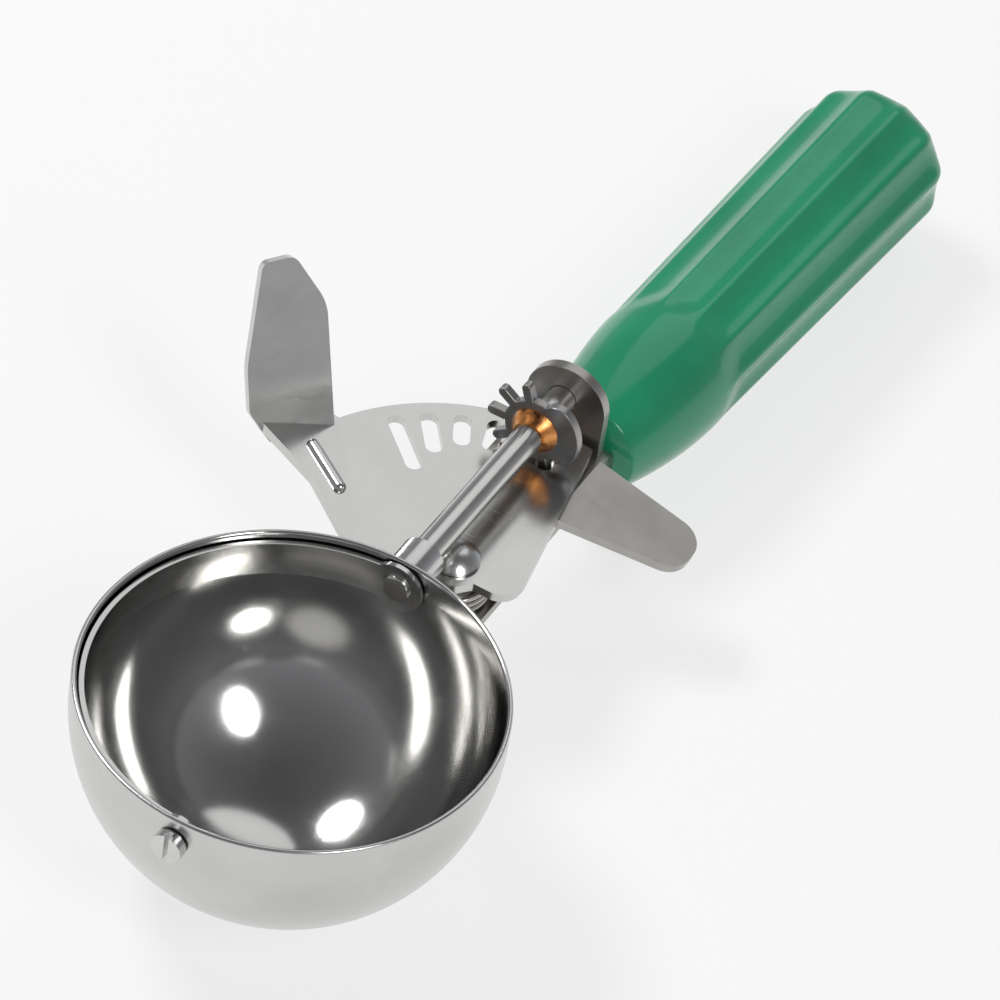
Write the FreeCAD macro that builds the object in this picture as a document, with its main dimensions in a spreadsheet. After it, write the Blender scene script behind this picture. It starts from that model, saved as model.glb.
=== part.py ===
import FreeCAD, Part
import math
import os

# A thumb lever ice cream scoop, in millimetres.
# The origin is the centre of the bowl's sphere, which lies on the scraper's axis.
# X runs back along the scraper shaft to the handle, Z is up through the bowl's mouth,
# and the thumb lever is on the +Y side.

vec = FreeCAD.Vector
doc = FreeCAD.newDocument("lever_ice_cream_scoop")
sheet = doc.addObject("Spreadsheet::Sheet", "Sizes")

SIZES = {
    # bowl
    "bowl_radius": 34.0, "bowl_wall": 0.9, "rim_height": 4.7,
    # scraper blade
    "blade_gap": 0.25, "blade_thick": 0.8, "blade_width": 6.6,
    "rear_lobe_radius": 4.6, "front_lobe_radius": 3.7,
    # scraper shaft and its bearings
    "shaft_dia": 5.0, "spigot_dia": 3.2, "bearing_gap": 0.05, "shaft_tail": 1.6,
    "shaft_head_height": 0.5, "shaft_head_round": 0.3,
    "bushing_dia": 7.4, "bushing_length": 6.4, "bushing_neck_dia": 6.4,
    # split pin at the front of the blade
    "pin_dia": 3.0, "pin_head_dia": 5.2, "pin_head_height": 1.7, "pin_head_gap": 0.3,
    "pin_foot_height": 0.8, "pin_foot_taper": 0.5, "pin_slit": 0.8, "pin_slit_depth": 1.4,
    # pinion
    "pinion_place": 75.8, "pinion_thick": 1.6, "pinion_tip_radius": 8.9, "pinion_root_radius": 5.7,
    "tooth_width": 1.7, "tooth_count": 6, "tooth_pitch": 36.0,
    "lobe_radius": 8.0, "lobe_from": 134.0, "lobe_to": 200.0, "lobe_corner": 3.0,
    "braze_width": 3.4, "braze_reach": 2.0, "braze_edge": 0.3,
    # lever plate
    "sheet_thick": 1.6, "lever_top": -6.5, "lever_gap": 0.1, "pivot_x": 49.0, "pivot_y": -1.6,
    "fan_radius": 35.3, "fan_start": -9.3, "first_slot": -2.0, "slot_width": 2.9, "slot_pitch": 10.0,
    "slot_rim": 2.4, "slot_lead": 1.0, "next_slot_extra": 1.9, "last_slot_extra": 5.4,
    "left_offset": 11.9, "left_angle": 42.8, "right_offset": 12.0, "right_angle": 10.2,
    "fold_start": 3.4, "hub_radius": 6.2, "lobe_length": 5.2, "neck_height": 6.6,
    "foot_round": 1.5, "neck_round": 0.6, "lobe_round": 3.6,
    # folded flange, thumb tab and pressed rib
    "flange_width": 8.4, "flange_rise": 12.0,
    "tab_lean": 25.0, "tab_turn": 37.7, "tab_height": 30.4, "tab_width": 14.2,
    "rib_radius": 1.1,
    # lever pivot
    "rivet_dia": 4.0, "rivet_head_dia": 8.4, "rivet_head_height": 2.0, "rivet_crown": 0.66,
    "rivet_foot_dia": 7.4, "rivet_foot_height": 1.2, "washer_thick": 0.4, "spacer_dia": 8.0,
    # return spring
    "wire_dia": 0.9, "coil_radius": 6.0, "coil_turns": 3.0, "coil_pitch": 1.33, "coil_seat_gap": 0.25,
    "coil_start": 150.0, "leg_length": 6.0,
    # frame
    "frame_thick": 1.8, "frame_width": 17.0, "frame_y": -0.6, "seat_top": -13.7, "deck_top": -9.4,
    "ramp_gap": 2.0, "ramp_length": 4.0, "saddle_reach": 8.0,
    "ear_place": 85.0, "ear_top": 6.6, "ear_radius": 7.2, "ear_y": -0.6, "ear_gap": 0.1,
    "wing_length": 20.8, "wing_root": 16.0, "wing_drop": 14.0, "wing_tip_radius": 4.6,
    # tang
    "tang_width": 12.0, "tang_thick": 3.0, "tang_length": 92.0, "tang_inset": 27.0, "tang_y": -2.9,
    "tang_corner": 3.0, "tang_rivet_dia": 4.0, "tang_rivet_front": 17.5, "tang_rivet_back": 5.5,
    "tang_foot_dia": 7.2, "tang_foot_height": 1.6, "tang_foot_round": 1.0,
    # handle
    "grip_start": 89.5, "grip_length": 101.3, "grip_nose_radius": 8.6, "grip_front_radius": 12.6,
    "grip_end_radius": 13.9, "grip_shoulder": 25.5, "grip_end_round": 7.0,
    "grip_yaw": -1.9, "grip_pitch": 2.0, "grip_y": -3.8, "grip_z": -12.75,
    "flute_count": 12, "flute_depth": 0.9, "flute_radius": 8.0, "flute_start": 6.0,
    "flute_overrun": 1.0,
}

# Outlines in shares of a size named in their function: across, up, and the corner's radius in mm
HUB_LOW = (-0.90, -0.52, 2.0)
HUB_HIGH = (-1.0, 0.89, 3.0)
TAB_OUTLINE = [(-0.11, -0.04, 0), (-0.10, 0.68, 9.0), (-0.45, 0.97, 2.2), (-0.84, 0.96, 1.6),
               (-1.11, 0.40, 14.0), (-1.12, 0.14, 2.0), (-0.90, -0.04, 0)]
FLANGE_OUTLINE = [(-0.01, -0.07, 0), (0.98, -0.07, 0), (1.02, 0.1, 0), (0.96, 1.75, 1.0),
                  (0.52, 0.92, 6.0), (0.03, 0.56, 2.0)]
WING_OUTLINE = [(0, -0.03), (0, 1.0), (-0.58, 1.0), (-1.0, -0.03)]
NOSE_BULGE = (0.62, 0.36)
RIB_ENDS = [(0.76, 0.73), (0.45, 0.43)]

STEPS_PER_TURN = 4
GAP_STEP = 0.25
SMALL = 1e-6
EAST = vec(1, 0, 0)
UPWARD = vec(0, 0, 1)
CENTRE = vec(0, 0, 0)

for row, (alias, value) in enumerate(SIZES.items(), start=1):
    sheet.set("A%d" % row, alias)
    sheet.set("B%d" % row, str(value))
    sheet.setAlias("B%d" % row, alias)
doc.recompute()


class Sizes:
    """Reads a driving size from the sheet by its alias."""

    def __getattr__(self, alias):
        return float(sheet.get(alias))


size = Sizes()
FINISHED = []


def keep(piece, label):
    """Names a finished piece and puts it on the list that is written out."""
    piece.Label = label
    FINISHED.append(piece)
    return piece


def add(kind, name, links=None, place=None, **bound):
    """Adds an object whose sizes are expressions of the sheet's cells."""
    piece = doc.addObject(kind, name)
    for prop, value in (links or {}).items():
        setattr(piece, prop, value)
    for prop, text in bound.items():
        piece.setExpression(prop, text)
    for axis, text in (place or {}).items():
        piece.setExpression("Placement.Base." + axis, text)
    return piece


def cut(name, base, tool):
    return add("Part::Cut", name, {"Base": base, "Tool": tool})


def fuse(name, pieces):
    return add("Part::MultiFuse", name, {"Shapes": pieces})


def rod(name, dia, length, x="0", y="0", z="0", along_x=True):
    """A cylinder along X, or along Z, from the place given in the sheet's terms."""
    piece = add("Part::Cylinder", name, None, {"x": x, "y": y, "z": z},
                Radius="(%s) / 2" % dia, Height=length)
    if along_x:
        piece.Placement = FreeCAD.Placement(piece.Placement.Base, FreeCAD.Rotation(vec(0, 1, 0), 90))
    return piece


def solid_feature(name, shape):
    piece = doc.addObject("Part::Feature", name)
    piece.Shape = shape
    return piece


def flat(z):
    return FreeCAD.Placement(vec(0, 0, z), FreeCAD.Rotation())


def polar(x, y, radius, degrees):
    angle = math.radians(degrees)
    return x + radius * math.cos(angle), y + radius * math.sin(angle)


def circle(x, y, radius):
    return [Part.Circle(vec(x, y, 0), UPWARD, radius)]


def rounded(corners):
    """A closed outline of lines and arcs through (x, y, corner radius) points."""
    ends = []
    count = len(corners)
    for i in range(count):
        before = vec(*corners[i - 1][:2], 0)
        here = vec(*corners[i][:2], 0)
        after = vec(*corners[(i + 1) % count][:2], 0)
        radius = corners[i][2]
        if radius <= 0:
            ends.append((here, here, None))
            continue
        inward = (before - here).normalize()
        outward = (after - here).normalize()
        half = inward.getAngle(outward) / 2
        reach = radius / math.tan(half)
        centre = here + (inward + outward).normalize() * (radius / math.sin(half))
        middle = centre + (here - centre).normalize() * radius
        ends.append((here + inward * reach, here + outward * reach, middle))
    shapes = []
    for i in range(count):
        start, finish, middle = ends[i]
        if middle is not None:
            shapes.append(Part.Arc(start, middle, finish))
        leave = ends[(i + 1) % count][0]
        if (leave - finish).Length > SMALL:
            shapes.append(Part.LineSegment(finish, leave))
    return shapes


def plate(name, role, loops, thickness, place):
    """A body padded from closed loops drawn on one of its own origin planes."""
    body = doc.addObject("PartDesign::Body", name)
    sketch = body.newObject("Sketcher::SketchObject", name + "_outline")
    plane = next(f for f in body.Origin.OriginFeatures if f.Role == role)
    sketch.AttachmentSupport = [(plane, "")]
    sketch.MapMode = "FlatFace"
    for loop in loops:
        sketch.addGeometry(loop, False)
    pad = body.newObject("PartDesign::Pad", name + "_pad")
    pad.Profile = sketch
    pad.setExpression("Length", thickness)
    body.Tip = pad
    body.Placement = place
    return body


def make_bowl():
    """A half sphere with a straight collar, hollowed, and bored for the pin and the bushing."""
    outer = add("Part::Sphere", "bowl_outside", {"Angle1": -90, "Angle2": 0}, None,
                Radius="Sizes.bowl_radius")
    collar = rod("bowl_collar", "2 * Sizes.bowl_radius", "Sizes.rim_height", along_x=False)
    inside = "Sizes.bowl_radius - Sizes.bowl_wall"
    inner = add("Part::Sphere", "bowl_inside", {"Angle1": -90, "Angle2": 0}, None, Radius=inside)
    mouth = rod("bowl_mouth", "2 * (%s)" % inside, "Sizes.rim_height", along_x=False)
    front_hole = rod("front_hole", "Sizes.pin_dia + 2 * Sizes.bearing_gap", "Sizes.bowl_radius",
                     x="-1.5 * Sizes.bowl_radius")
    rear_hole = rod("rear_hole", "Sizes.bushing_neck_dia", "Sizes.bowl_radius",
                    x="0.5 * Sizes.bowl_radius")
    shell = cut("bowl_shell", fuse("bowl_whole", [outer, collar]), fuse("bowl_space", [inner, mouth]))
    return keep(cut("bowl_cut", shell, fuse("bowl_holes", [front_hole, rear_hole])), "bowl")


def blade_outside():
    return size.bowl_radius - size.bowl_wall - size.blade_gap


def blade_inside():
    return blade_outside() - size.blade_thick


def blade_ball(radius):
    """A ball whose seam is turned to -Y, where the blade has no metal."""
    ball = Part.makeSphere(radius)
    ball.rotate(CENTRE, UPWARD, -90)
    return ball


def make_blade():
    """A band of a spherical shell, with a round lobe about the axis at each end."""
    reach = blade_outside()
    band = Part.makeBox(2 * reach, reach, size.blade_width, vec(-reach, 0, -size.blade_width / 2))
    rear = Part.makeCylinder(size.rear_lobe_radius, reach, CENTRE, EAST)
    front = Part.makeCylinder(size.front_lobe_radius, reach, CENTRE, -EAST)
    outline = band.fuse([rear, front]).removeSplitter()
    rear_hole = Part.makeCylinder(size.spigot_dia / 2, size.bowl_radius, CENTRE, EAST)
    front_hole = Part.makeCylinder(size.pin_dia / 2, size.bowl_radius, CENTRE, -EAST)
    blade = blade_ball(reach).common(outline)
    blade = blade.cut(blade_ball(blade_inside())).cut(rear_hole.fuse(front_hole))
    return keep(solid_feature("blade", blade.Solids[0]), "scraper_blade")


def make_front_pin():
    """A split pin: a slotted head outside the bowl and a spread foot inside the blade."""
    seat = "Sizes.bowl_radius + Sizes.pin_head_gap"
    inside = "(Sizes.bowl_radius - Sizes.bowl_wall - Sizes.blade_gap - Sizes.blade_thick)"
    foot_back = "sqrt(%s ^ 2 - (Sizes.pin_head_dia / 2) ^ 2)" % inside
    head_start = "-(%s) - Sizes.pin_head_height" % seat
    head = rod("pin_head", "Sizes.pin_head_dia", "Sizes.pin_head_height", x=head_start)
    shank = rod("pin_shank", "Sizes.pin_dia",
                "%s + Sizes.pin_head_height - %s" % (seat, foot_back), x=head_start)
    foot = add("Part::Cone", "pin_foot", None, {"x": "-" + foot_back},
               Radius1="Sizes.pin_head_dia / 2", Height="Sizes.pin_foot_height",
               Radius2="Sizes.pin_head_dia / 2 - Sizes.pin_foot_taper")
    foot.Placement = FreeCAD.Placement(foot.Placement.Base, FreeCAD.Rotation(vec(0, 1, 0), 90))
    slit = add("Part::Box", "pin_slit_cut", None,
               {"x": head_start, "y": "-Sizes.pin_slit / 2", "z": "-Sizes.pin_head_dia"},
               Length="Sizes.pin_slit_depth", Width="Sizes.pin_slit", Height="2 * Sizes.pin_head_dia")
    return keep(cut("pin_cut", fuse("pin_body", [head, shank, foot]), slit), "blade_front_pin")


def make_shaft():
    """The rod, its spigot through the blade and the head that holds the blade."""
    seat = blade_outside()
    rise = math.sqrt(blade_inside() ** 2 - (size.shaft_dia / 2) ** 2)
    tail = size.ear_place + size.frame_thick + size.shaft_tail
    head_start = rise - size.shaft_head_height
    main = Part.makeCylinder(size.shaft_dia / 2, tail - seat, vec(seat, 0, 0), EAST)
    spigot = Part.makeCylinder(size.spigot_dia / 2, seat - rise, vec(rise, 0, 0), EAST)
    head = Part.makeCylinder(size.shaft_dia / 2, size.shaft_head_height, vec(head_start, 0, 0), EAST)
    rim = [edge for edge in head.Edges if abs(edge.BoundBox.XMax - head_start) < SMALL]
    head = head.makeFillet(size.shaft_head_round, rim)
    return keep(solid_feature("shaft", main.fuse([spigot, head]).removeSplitter()), "scraper_shaft")


def bowl_form(radius):
    """The bowl's form at a radius: a ball, with a straight collar up to the rim."""
    return Part.makeSphere(radius).fuse(Part.makeCylinder(radius, size.rim_height))


def make_bushing():
    """The sleeve on the back of the bowl that the shaft turns in."""
    wall = size.bowl_radius - size.bowl_wall
    end = size.bowl_radius + size.bushing_length
    start = vec(wall - size.bowl_wall, 0, 0)
    sleeve = Part.makeCylinder(size.bushing_dia / 2, end - start.x, start, EAST)
    sleeve = sleeve.cut(bowl_form(size.bowl_radius))
    neck = Part.makeCylinder(size.bushing_neck_dia / 2, end - start.x, start, EAST)
    neck = neck.cut(bowl_form(wall))
    bore = Part.makeCylinder(size.shaft_dia / 2 + size.bearing_gap, 2 * end, CENTRE, EAST)
    return keep(solid_feature("bushing", sleeve.fuse(neck).removeSplitter().cut(bore)), "shaft_bushing")


def slot_angles():
    return [size.first_slot + size.slot_pitch * i for i in range(int(size.tooth_count))]


def tooth_angles():
    """Tooth angles about the shaft, from +Y towards +Z, matched to the slots at rest."""
    reach = size.pinion_place + size.pinion_thick / 2 - size.pivot_x
    mesh = math.degrees(math.atan2(-size.pivot_y, reach))
    ratio = size.tooth_pitch / size.slot_pitch
    return [-90 + ratio * (slot - mesh) for slot in slot_angles()]


def make_pinion():
    """A stamped gear: finger teeth on one side and a smooth lobe on the other."""
    thick = size.pinion_thick
    half_tooth = size.tooth_width / 2
    reach = size.pinion_tip_radius - half_tooth
    pieces = []
    for angle in tooth_angles():
        finger = Part.makeBox(reach, size.tooth_width, thick, vec(0, -half_tooth, 0))
        finger = finger.fuse(Part.makeCylinder(half_tooth, thick, vec(reach, 0, 0)))
        finger.rotate(CENTRE, UPWARD, angle)
        pieces.append(finger)
    for angle in (size.lobe_from, size.lobe_to):
        x, y = polar(0, 0, size.lobe_radius - size.lobe_corner, angle)
        pieces.append(Part.makeCylinder(size.lobe_corner, thick, vec(x, y, 0)))
    sector = Part.makeCylinder(size.lobe_radius, thick, CENTRE, UPWARD, size.lobe_to - size.lobe_from)
    sector.rotate(CENTRE, UPWARD, size.lobe_from)
    gear = Part.makeCylinder(size.pinion_root_radius, thick).fuse(pieces + [sector]).removeSplitter()
    piece = solid_feature("gear", gear.cut(Part.makeCylinder(size.shaft_dia / 2, thick)))
    # local x becomes Y, local y becomes Z and local z becomes X
    turned = FreeCAD.Rotation(vec(0, 1, 0), UPWARD, EAST, "XYZ")
    piece.Placement = FreeCAD.Placement(vec(size.pinion_place, 0, 0), turned)
    return keep(piece, "pinion")


def make_braze():
    """The copper coloured fillet that joins the pinion to the shaft."""
    start = vec(size.pinion_place - size.braze_reach, 0, 0)
    shaft = size.shaft_dia / 2
    cone = Part.makeCone(shaft + size.braze_edge, shaft + size.braze_width / 2, size.braze_reach, start, EAST)
    cone = cone.cut(Part.makeCylinder(shaft, size.braze_reach, start, EAST))
    return keep(solid_feature("braze", cone), "pinion_braze")


def side_point(offset, angle, along, sign):
    """A point along a straight side of the fan that passes the pivot at an offset."""
    way = math.radians(angle)
    x = size.pivot_x - math.sin(way) * sign * offset + math.cos(way) * along
    y = size.pivot_y + math.cos(way) * sign * offset + math.sin(way) * along
    return x, y


def fan_tip():
    reach = math.sqrt(size.fan_radius ** 2 - size.left_offset ** 2)
    return side_point(size.left_offset, size.left_angle, reach, 1)


def fold_foot():
    return side_point(size.left_offset, size.left_angle, size.fold_start, 1)


def capsule(start, finish, width):
    """A slot outline with round ends between two points."""
    a = vec(start[0], start[1], 0)
    b = vec(finish[0], finish[1], 0)
    along = (b - a).normalize() * (width / 2)
    across = vec(-along.y, along.x, 0)
    return [Part.LineSegment(a + across, b + across), Part.Arc(b + across, b + along, b - across),
            Part.LineSegment(b - across, a - across), Part.Arc(a - across, a - along, a + across)]


def slot_loops():
    """The radial slots that the pinion's teeth run in; the last two start nearer the pivot."""
    near = size.pinion_place - size.pivot_x - size.slot_lead + size.slot_width / 2
    far = size.fan_radius - size.slot_rim - size.slot_width / 2
    angles = slot_angles()
    extra = {len(angles) - 1: size.last_slot_extra, len(angles) - 2: size.next_slot_extra}
    loops = []
    for i, angle in enumerate(angles):
        start = polar(size.pivot_x, size.pivot_y, near - extra.get(i, 0), angle)
        finish = polar(size.pivot_x, size.pivot_y, far, angle)
        loops.append(capsule(start, finish, size.slot_width))
    return loops


def is_chord(shape, start, finish):
    """Whether a line is the straight chord that the fan's arc replaces."""
    if not isinstance(shape, Part.LineSegment):
        return False
    ends = (vec(*start, 0), vec(*finish, 0))
    return all(min((p - e).Length for e in ends) < SMALL for p in (shape.StartPoint, shape.EndPoint))


def make_lever():
    """The slotted fan, its folded flange, the thumb tab and the rib between them."""
    px, py, hub = size.pivot_x, size.pivot_y, size.hub_radius
    tip, foot = fan_tip(), fold_foot()
    right_tip = polar(px, py, size.fan_radius, size.fan_start)
    lobe = side_point(size.right_offset, size.right_angle, 0, -1)
    corner = (lobe[0] - size.lobe_length, lobe[1])
    neck = (corner[0], corner[1] + size.neck_height)
    hub_points = [(px + hub * x, py + hub * y, radius) for x, y, radius in (HUB_HIGH, HUB_LOW)]
    end_angle = math.degrees(math.atan2(tip[1] - py, tip[0] - px))
    middle = polar(px, py, size.fan_radius, (size.fan_start + end_angle) / 2)
    arc = Part.Arc(vec(*right_tip, 0), vec(*middle, 0), vec(*tip, 0))
    corners = [(*right_tip, 0), (*tip, 0), (*foot, size.foot_round)] + hub_points
    corners += [(*neck, size.neck_round), (*corner, size.lobe_round), (*lobe, 0)]
    sides = [shape for shape in rounded(corners) if not is_chord(shape, right_tip, tip)]
    bore = circle(px, py, size.rivet_dia / 2 + size.bearing_gap)
    loops = [sides + [arc], bore] + slot_loops()
    fan = plate("fan", "XY_Plane", loops, "Sizes.sheet_thick", flat(size.lever_top - size.sheet_thick))
    folds = [make_flange(tip, foot), make_tab(tip), make_rib(tip, foot)]
    return keep(fuse("lever_whole", [fan] + folds), "thumb_lever")


def flange_frame(tip, foot):
    """A placement under the fan's left side, its local x along the fold and its y up the flange."""
    along = (vec(*tip, 0) - vec(*foot, 0)).normalize()
    rise = math.radians(size.flange_rise)
    up = vec(-along.y, along.x, 0) * math.cos(rise) + vec(0, 0, math.sin(rise))
    normal = along.cross(up)
    base = vec(*foot, size.lever_top) - normal * size.sheet_thick
    return FreeCAD.Placement(base, FreeCAD.Rotation(along, up, normal, "XYZ"))


def flange_length(tip, foot):
    return (vec(*tip, 0) - vec(*foot, 0)).Length


def make_flange(tip, foot):
    """The flange along the fan's left side, widest where the tab is folded from its end."""
    length = flange_length(tip, foot)
    outline = rounded([(x * length, y * size.flange_width, radius) for x, y, radius in FLANGE_OUTLINE])
    return plate("flange", "XY_Plane", [outline], "Sizes.sheet_thick", flange_frame(tip, foot))


def tab_frame(tip):
    """A placement at the tab's foot, its local x across the tab and its local y up it."""
    turned = math.radians(size.tab_turn)
    lean = math.radians(size.tab_lean)
    across = vec(math.cos(turned), -math.sin(turned), 0)
    outward = vec(math.sin(turned), math.cos(turned), 0)
    up = vec(0, 0, math.cos(lean)) + outward * math.sin(lean)
    return FreeCAD.Placement(vec(*tip, size.lever_top), FreeCAD.Rotation(across, up, across.cross(up), "XYZ"))


def make_tab(tip):
    outline = rounded([(x * size.tab_width, y * size.tab_height, radius) for x, y, radius in TAB_OUTLINE])
    return plate("tab", "XY_Plane", [outline], "Sizes.sheet_thick", tab_frame(tip))


def make_rib(tip, foot):
    """The rib pressed up out of the flange, next to the tab's fold."""
    frame, length = flange_frame(tip, foot), flange_length(tip, foot)
    first, last = [frame.multVec(vec(x * length, y * size.flange_width, size.sheet_thick))
                   for x, y in RIB_ENDS]
    rib = Part.makeCylinder(size.rib_radius, (last - first).Length, first, last - first)
    return solid_feature("rib", rib.fuse([Part.makeSphere(size.rib_radius, end) for end in (first, last)]))


PIVOT = ("Sizes.pivot_x", "Sizes.pivot_y")
WASHER_BASE = "Sizes.lever_top + Sizes.lever_gap"
SPACER_HEIGHT = "Sizes.lever_top - Sizes.sheet_thick - Sizes.lever_gap - Sizes.seat_top"


def make_rivet():
    """The domed rivet that the lever turns on, headed over under the frame."""
    under = "Sizes.seat_top - Sizes.frame_thick"
    top = WASHER_BASE + " + Sizes.washer_thick"
    ball = "Sizes.rivet_crown * Sizes.rivet_head_dia"
    shank = rod("rivet_shank", "Sizes.rivet_dia", "%s - (%s)" % (top, under), *PIVOT, under, False)
    head = rod("rivet_head", "Sizes.rivet_head_dia", "Sizes.rivet_head_height", *PIVOT, top, False)
    crown = add("Part::Sphere", "rivet_ball", None,
                {"x": PIVOT[0], "y": PIVOT[1], "z": "%s + Sizes.rivet_head_height - %s" % (top, ball)},
                Radius=ball)
    dome = add("Part::MultiCommon", "rivet_dome", {"Shapes": [head, crown]})
    foot = rod("rivet_foot", "Sizes.rivet_foot_dia", "Sizes.rivet_foot_height", *PIVOT,
               under + " - Sizes.rivet_foot_height", False)
    return keep(fuse("rivet_whole", [shank, dome, foot]), "lever_rivet")


def make_ring(name, label, outer, height, z):
    """A plain ring on the lever's rivet."""
    body = rod(name + "_body", outer, height, *PIVOT, z, False)
    bore = rod(name + "_bore", "Sizes.rivet_dia", height, *PIVOT, z, False)
    return keep(cut(name, body, bore), label)


def biarc(p1, t1, p2, t2):
    """Two tangent arcs between two points with given headings."""
    across = p2 - p1
    b = across.dot(t1 + t2)
    a = 2 * (1 - t1.dot(t2))
    d = (-b + math.sqrt(b * b + a * across.dot(across))) / a
    joint = (p1 + p2 + (t1 - t2) * d) * 0.5

    def arc_middle(start, way):
        line = joint - start
        reach = line.Length / 2 / math.cos(way.getAngle(line) / 2)
        return start + (way + line.normalize()).normalize() * reach

    return [Part.Arc(p1, arc_middle(p1, t1), joint).toShape(),
            Part.Arc(joint, arc_middle(p2, t2 * -1), p2).toShape()]


def make_spring():
    """Open turns and two straight legs, as one unbroken tube."""
    radius, pitch = size.coil_radius, size.coil_pitch
    low = size.seat_top + size.wire_dia / 2 + size.coil_seat_gap

    def at(step):
        x, y = polar(size.pivot_x, size.pivot_y, radius, size.coil_start + 360.0 * step / STEPS_PER_TURN)
        return vec(x, y, low + pitch * step / STEPS_PER_TURN)

    def heading(step):
        angle = math.radians(size.coil_start + 360.0 * step / STEPS_PER_TURN)
        return vec(-math.sin(angle), math.cos(angle), pitch / (2 * math.pi * radius)).normalize()

    count = int(round(STEPS_PER_TURN * size.coil_turns))
    begin = at(0) - heading(0) * size.leg_length
    edges = [Part.makeLine(begin, at(0))]
    for step in range(count):
        edges += biarc(at(step), heading(step), at(step + 1), heading(step + 1))
    edges.append(Part.makeLine(at(count), at(count) + heading(count) * size.leg_length))
    path = Part.Wire(edges)
    shell = Part.BRepOffsetAPI.MakePipeShell(path)
    shell.add(Part.Wire(Part.makeCircle(size.wire_dia / 2, begin, heading(0))))
    shell.build()
    shell.makeSolid()
    tube = shell.shape()
    expected = path.Length * math.pi * (size.wire_dia / 2) ** 2
    print("spring volume over section times length", round(tube.Volume / expected, 4))
    print("spring least gap to itself", round(least_gap(path), 3))
    return keep(solid_feature("spring", tube), "return_spring")


def least_gap(path):
    """The least free space between two stretches of the wire, measured on points."""
    points = path.discretize(Distance=GAP_STEP)
    skip = int(size.coil_radius / GAP_STEP)
    gaps = [(a - b).Length - size.wire_dia for i, a in enumerate(points) for b in points[i + skip:]]
    return min(gaps)


def strip(points, thick):
    """The closed outline of a bent strip whose top face follows the points."""
    lower = []
    for i, point in enumerate(points):
        here = vec(*point, 0)
        ways = [(here - vec(*p, 0)).normalize() for p in points[max(i - 1, 0):i]]
        ways += [(vec(*p, 0) - here).normalize() for p in points[i + 1:i + 2]]
        mean = (ways[0] + ways[-1]).normalize()
        down = vec(mean.y, -mean.x, 0) * (thick / math.cos(mean.getAngle(ways[0])))
        lower.append((here.x + down.x, here.y + down.y, 0))
    return [(*point, 0) for point in points] + lower[::-1]


def make_frame():
    """The strip from the bowl to the ear, with the ear, the finger rest and the welded edge."""
    seat, deck, thick, half = size.seat_top, size.deck_top, size.frame_thick, size.frame_width / 2
    bowl_edge = math.sqrt(size.bowl_radius ** 2 - seat ** 2) - thick
    ramp_from = size.pivot_x + size.coil_radius + size.ramp_gap
    ramp_to = ramp_from + size.ramp_length
    back = size.ear_place + thick
    profile = rounded(strip([(bowl_edge, seat), (ramp_from, seat), (ramp_to, deck), (back, deck)], thick))
    # the profile is drawn on the XZ plane, whose normal is -Y
    run_place = FreeCAD.Placement(vec(0, size.frame_y + half, 0), FreeCAD.Rotation())
    run = plate("frame_run", "XZ_Plane", [profile], "Sizes.frame_width", run_place)
    ball = add("Part::Sphere", "frame_bowl_space", None, None, Radius="Sizes.bowl_radius")
    pieces = [cut("frame_trimmed", run, ball), make_ear(), make_wing(size.frame_y - half), make_saddle()]
    holes = solid_feature("frame_holes", Part.makeCompound(rivet_bores()))
    return keep(cut("frame_cut", fuse("frame_whole", pieces), holes), "handle_frame")


def make_ear():
    """The upright ear that carries the back of the scraper shaft."""
    low = size.deck_top - size.frame_thick
    left, right = size.ear_y - size.ear_radius, size.ear_y + size.ear_radius
    corner = size.ear_radius - size.ear_gap
    outline = rounded([(left, low, 0), (right, low, 0), (right, size.ear_top, corner),
                       (left, size.ear_top, corner)])
    hole = circle(0, 0, size.shaft_dia / 2 + size.ear_gap)
    place = FreeCAD.Placement(vec(size.ear_place, 0, 0), FreeCAD.Rotation())
    return plate("ear", "YZ_Plane", [outline, hole], "Sizes.frame_thick", place)


def make_wing(root_y):
    """The finger rest, bent down from the frame's edge."""
    corners = (0, size.wing_tip_radius, size.wing_tip_radius, 0)
    outline = rounded([(x * size.wing_root, -y * size.wing_length, corner)
                       for (x, y), corner in zip(WING_OUTLINE, corners)])
    drop = FreeCAD.Rotation(EAST, size.wing_drop)
    down = drop.multVec(vec(0, 0, -size.frame_thick))
    place = FreeCAD.Placement(vec(size.ear_place, root_y, size.deck_top) + down, drop)
    return plate("wing", "XY_Plane", [outline], "Sizes.frame_thick", place)


def make_saddle():
    """The frame's turned edge that is spot welded to the bowl."""
    shell = Part.makeSphere(size.bowl_radius + size.frame_thick).cut(Part.makeSphere(size.bowl_radius))
    tall = size.saddle_reach + size.frame_thick
    corner = vec(size.bowl_radius / 2, size.frame_y - size.frame_width / 2, size.seat_top - tall)
    block = Part.makeBox(size.bowl_radius, size.frame_width, tall, corner)
    return solid_feature("saddle", shell.common(block))


def tang_rivet_places():
    return [(size.ear_place - back, size.tang_y) for back in (size.tang_rivet_front, size.tang_rivet_back)]


def rivet_bores():
    """The holes in the frame for the tang's rivets and the lever's rivet."""
    deep = 2 * size.frame_thick
    bores = [Part.makeCylinder(size.tang_rivet_dia / 2, deep, vec(x, y, size.deck_top - deep))
             for x, y in tang_rivet_places()]
    pivot = vec(size.pivot_x, size.pivot_y, size.seat_top - deep)
    return bores + [Part.makeCylinder(size.rivet_dia / 2, deep, pivot)]


def tang_blank():
    """The flat bar that runs from under the frame into the handle."""
    top = size.deck_top - size.frame_thick
    corner = vec(size.grip_start - size.tang_inset, size.tang_y - size.tang_width / 2, top - size.tang_thick)
    bar = Part.makeBox(size.tang_length, size.tang_width, size.tang_thick, corner)
    upright = [edge for edge in bar.Edges if abs(edge.tangentAt(edge.FirstParameter).z) > 0.5]
    return bar.makeFillet(size.tang_corner, upright)


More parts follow.
